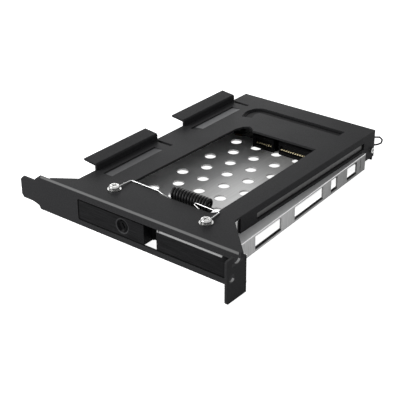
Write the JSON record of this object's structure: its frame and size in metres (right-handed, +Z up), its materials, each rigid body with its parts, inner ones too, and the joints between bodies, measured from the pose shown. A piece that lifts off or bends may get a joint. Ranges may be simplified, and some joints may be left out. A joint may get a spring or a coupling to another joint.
{
  "type": "hot swap drive caddy",
  "caption": "Black and bright steel caddy for a small disk drive that fits an expansion slot, with a lockable door, pierced tray and wire spring.",
  "frame": {"origin": "middle of the lower edge of the slot bracket's outer face", "axes": "+X along the bracket to its ear, +Y into the computer away from the face, +Z up from the rails through the cover"},
  "size_m": [0.12, 0.1486, 0.0199],
  "materials": {
    "black_powder_coat": "fine satin powder coat",
    "bright_steel": "bright rolled sheet",
    "pin_steel": "ground",
    "spring_steel": "bright drawn wire",
    "nickel_plate": "nickel plated",
    "black_plastic": "moulded matt",
    "gold_plate": "gold plated",
    "board_laminate": "solder resist",
    "brass_spacer": "turned",
    "black_wire": "black coated wire",
    "black_door_paint": "brushed and painted black",
    "lock_ring_black": "blackened die cast"
  },
  "bodies": {
    "frame": {"bracket_cover": "black_powder_coat", "drive_tray": "bright_steel", "right_rail": "bright_steel", "left_rail": "bright_steel", "hinge_bracket": "bright_steel", "door_hinge_pin": "pin_steel", "door_spring": "spring_steel", "lock_keeper": "bright_steel", "hold_down_spring": "black_wire", "left_spring_wire": "spring_steel", "right_spring_wire": "spring_steel", "spring_washers": "nickel_plate", "spring_screws": "nickel_plate", "spring_screw_nuts": "nickel_plate", "drive_connector": "black_plastic", "signal_contacts": "gold_plate", "power_contacts": "gold_plate", "backplane_board": "board_laminate", "board_spacers": "brass_spacer", "board_screws": "nickel_plate", "data_socket": "black_plastic", "power_socket": "black_plastic", "data_contacts": "gold_plate", "power_pins": "gold_plate", "rear_bracket": "black_powder_coat", "rear_screws": "nickel_plate", "cable_bail": "black_wire"},
    "door": {"door_panel": "black_door_paint", "lock_housing": "lock_ring_black", "lock_nut": "nickel_plate"},
    "lock_plug": {"lock_barrel": "lock_ring_black", "lock_cam": "bright_steel", "cam_screw": "nickel_plate"}
  },
  "joints": [
    {"name": "door_hinge", "type": "hinge", "parent": "frame", "child": "door", "pos_m": [0.04969, 0.0027, 0.0074], "axis": [0, 0, 1], "range_deg": [0, 90]},
    {"name": "lock_turn", "type": "hinge", "parent": "door", "child": "lock_plug", "pos_m": [-0.00131, 0, 0.0076], "axis": [0, 1, 0], "range_deg": [0, 90]}
  ]
}
